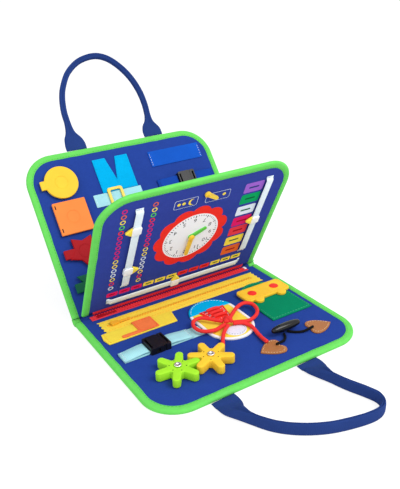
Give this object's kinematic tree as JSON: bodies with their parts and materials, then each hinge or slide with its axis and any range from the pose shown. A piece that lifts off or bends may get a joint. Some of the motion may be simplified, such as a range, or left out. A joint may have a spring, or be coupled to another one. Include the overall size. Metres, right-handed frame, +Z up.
{
  "type": "busy book",
  "caption": "Felt activity book for toddlers: two bound covers on a fold, a zipped-in clock page, carrying handles, gears, buckles, zips and snap shapes.",
  "frame": {"origin": "centre of the front cover's underside, on the surface the book stands on", "axes": "+X along the fold to the reader's right, +Y from the reader towards the fold and the back cover, +Z up"},
  "size_m": [0.3, 0.6001, 0.3101],
  "materials": {
    "blue_felt": "matte",
    "page_print": "matte",
    "board": "matte",
    "binding_tape": "satin",
    "handle_webbing": "matte",
    "red_zip_tape": "matte",
    "red_slider": "gloss",
    "yellow_zip_tape": "matte",
    "yellow_slider": "gloss",
    "yellow_felt": "matte",
    "orange_felt": "matte",
    "cyan_webbing": "satin",
    "black_plastic": "satin",
    "sky_felt": "matte",
    "white_felt": "matte",
    "red_felt": "matte",
    "red_lace": "matte",
    "green_felt": "matte",
    "leather": "satin",
    "black_cord": "matte",
    "horn_black": "gloss",
    "rivet_steel": "polished",
    "lime_foam": "satin",
    "yellow_foam": "satin",
    "orange_foam": "satin",
    "red_foam": "satin",
    "green_foam": "satin",
    "yellow_plastic": "gloss",
    "green_plastic": "gloss",
    "blue_band": "satin",
    "white_ribbon": "satin",
    "steel_snap": "satin"
  },
  "bodies": {
    "front_cover": {"front_felts": "blue_felt", "front_stiffener": "board", "front_binding": "binding_tape", "cover_fold": "blue_felt", "fold_binding": "binding_tape", "page_zip_lower": "red_zip_tape", "pouch_zip": "yellow_zip_tape", "pouch": "yellow_felt", "pouch_patch": "orange_felt", "buckle_straps": "cyan_webbing", "buckle_socket": "black_plastic", "shoe_upper": "yellow_felt", "shoe_collar": "sky_felt", "shoe_trim": "white_felt", "shoe_eyestay": "red_felt", "lace_knot": "red_lace", "lace_loops": "red_lace", "lace_ends": "red_lace", "garage_pocket": "green_felt", "toggle_patches": "leather", "toggle_cords": "black_cord", "gear_posts": "rivet_steel"},
    "back_cover": {"back_felts": "blue_felt", "back_stiffener": "board", "back_binding": "binding_tape", "snap_studs": "steel_snap", "trousers": "sky_felt", "belt": "cyan_webbing", "elastic_band": "blue_band", "clasp_straps": "blue_band", "clasp_socket": "black_plastic"},
    "page": {"page_felts": "page_print", "page_stiffener": "board", "page_binding": "binding_tape", "page_zip_upper": "red_zip_tape", "page_rivets": "rivet_steel", "ribbons": "white_ribbon"},
    "bus": {"bus_body": "yellow_foam", "bus_windows": "red_foam"},
    "page_zip_slider": {"page_zip_slider": "red_slider"},
    "pouch_zip_slider": {"pouch_zip_slider": "yellow_slider"},
    "buckle_plug": {"buckle_plug": "black_plastic"},
    "toggle": {"toggle": "horn_black"},
    "green_gear": {"green_gear": "lime_foam"},
    "yellow_gear": {"yellow_gear": "yellow_foam"},
    "front_handle": {"front_handle": "handle_webbing"},
    "circle_flap": {"circle_flap": "yellow_foam"},
    "square_flap": {"square_flap": "orange_foam"},
    "star_flap": {"star_flap": "red_foam"},
    "triangle_flap": {"triangle_flap": "green_foam"},
    "belt_buckle": {"belt_buckle": "yellow_plastic"},
    "clasp_plug": {"clasp_plug": "black_plastic"},
    "back_handle": {"back_handle": "handle_webbing"},
    "minute_hand": {"minute_hand": "yellow_plastic"},
    "hour_hand": {"hour_hand": "green_plastic"},
    "left_upper_slider": {"left_upper_slider": "yellow_plastic"},
    "left_lower_slider": {"left_lower_slider": "yellow_plastic"},
    "right_slider": {"right_slider": "yellow_plastic"},
    "low_slider": {"low_slider": "yellow_plastic"},
    "pointer": {"pointer": "yellow_plastic"}
  },
  "joints": [
    {"name": "cover_hinge", "type": "hinge", "parent": "front_cover", "child": "back_cover", "pos_m": [0, 0.118, 0.0074], "axis": [-1, 0, 0], "range_deg": [-91, 52], "deforming": ["cover_fold", "fold_binding"]},
    {"name": "page_turn", "type": "hinge", "parent": "front_cover", "child": "page", "pos_m": [0, 0.118, 0.0074], "axis": [-1, 0, 0], "range_deg": [-45.5, 26]},
    {"name": "front_handle_swing", "type": "hinge", "parent": "front_cover", "child": "front_handle", "pos_m": [0, -0.1199, 0.0012], "axis": [-1, 0, 0], "range_deg": [0, 90]},
    {"name": "back_handle_swing", "type": "hinge", "parent": "back_cover", "child": "back_handle", "pos_m": [0, 0.26833, 0.19185], "axis": [-1, 0, 0], "range_deg": [-60, 60]},
    {"name": "green_gear_spin", "type": "hinge", "parent": "front_cover", "child": "green_gear", "pos_m": [-0.092, -0.057, 0.005], "axis": [0, 0, 1], "continuous": true},
    {"name": "yellow_gear_spin", "type": "hinge", "parent": "front_cover", "child": "yellow_gear", "pos_m": [-0.04861, -0.06003, 0.005], "axis": [0, 0, 1], "continuous": true},
    {"name": "hour_hand_turn", "type": "hinge", "parent": "page", "child": "hour_hand", "pos_m": [0.002, 0.06215, 0.11136], "axis": [0, -0.8886, -0.4587], "continuous": true},
    {"name": "minute_hand_turn", "type": "hinge", "parent": "page", "child": "minute_hand", "pos_m": [0.002, 0.06215, 0.11136], "axis": [0, -0.8886, -0.4587], "continuous": true},
    {"name": "pointer_turn", "type": "hinge", "parent": "page", "child": "pointer", "pos_m": [0.008, 0.02729, 0.1789], "axis": [0, -0.8886, -0.4587], "range_deg": [-110, 0]},
    {"name": "left_upper_slide", "type": "slide", "parent": "page", "child": "left_upper_slider", "axis": [0, -0.4587, 0.8886], "range_m": [-0.03, 0.022]},
    {"name": "left_lower_slide", "type": "slide", "parent": "page", "child": "left_lower_slider", "axis": [0, -0.4587, 0.8886], "range_m": [-0.022, 0.03]},
    {"name": "right_slide", "type": "slide", "parent": "page", "child": "right_slider", "axis": [0, -0.4587, 0.8886], "range_m": [-0.055, 0.055]},
    {"name": "low_slide", "type": "slide", "parent": "page", "child": "low_slider", "axis": [1, 0, 0], "range_m": [-0.085, 0.085]},
    {"name": "page_zip_pull", "type": "slide", "parent": "front_cover", "child": "page_zip_slider", "axis": [1, 0, 0], "range_m": [0, 0.21]},
    {"name": "pouch_zip_pull", "type": "slide", "parent": "front_cover", "child": "pouch_zip_slider", "axis": [1, 0, 0], "range_m": [0, 0.195]},
    {"name": "buckle_release", "type": "slide", "parent": "front_cover", "child": "buckle_plug", "axis": [1, 0, 0], "range_m": [0, 0.016], "deforming": ["buckle_straps"]},
    {"name": "clasp_release", "type": "slide", "parent": "back_cover", "child": "clasp_plug", "axis": [1, 0, 0], "range_m": [0, 0.016], "deforming": ["clasp_straps"]},
    {"name": "circle_flap_lift", "type": "hinge", "parent": "back_cover", "child": "circle_flap", "pos_m": [-0.133, 0.23551, 0.15797], "axis": [0, -0.6157, -0.788], "range_deg": [0, 100]},
    {"name": "square_flap_lift", "type": "hinge", "parent": "back_cover", "child": "square_flap", "pos_m": [-0.127, 0.2035, 0.117], "axis": [0, -0.6157, -0.788], "range_deg": [0, 100]},
    {"name": "star_flap_lift", "type": "hinge", "parent": "back_cover", "child": "star_flap", "pos_m": [-0.133, 0.1721, 0.07681], "axis": [0, -0.6157, -0.788], "range_deg": [0, 100]},
    {"name": "triangle_flap_lift", "type": "hinge", "parent": "back_cover", "child": "triangle_flap", "pos_m": [-0.133, 0.14255, 0.03898], "axis": [0, -0.6157, -0.788], "range_deg": [0, 35]},
    {"name": "bus_lift", "type": "slide", "parent": "front_cover", "child": "bus", "axis": [0, 0, 1], "range_m": [0, 0.06]},
    {"name": "toggle_swivel", "type": "hinge", "parent": "front_cover", "child": "toggle", "pos_m": [0.064, -0.06, 0.014], "axis": [0, 0, 1], "range_deg": [-40, 40]},
    {"name": "belt_buckle_slide", "type": "slide", "parent": "back_cover", "child": "belt_buckle", "axis": [1, 0, 0], "range_m": [-0.02, 0.02]}
  ],
  "couplings": [
    {"joint": "page_turn", "follows": "cover_hinge", "ratio": 0.5},
    {"joint": "yellow_gear_spin", "follows": "green_gear_spin", "ratio": -1}
  ]
}
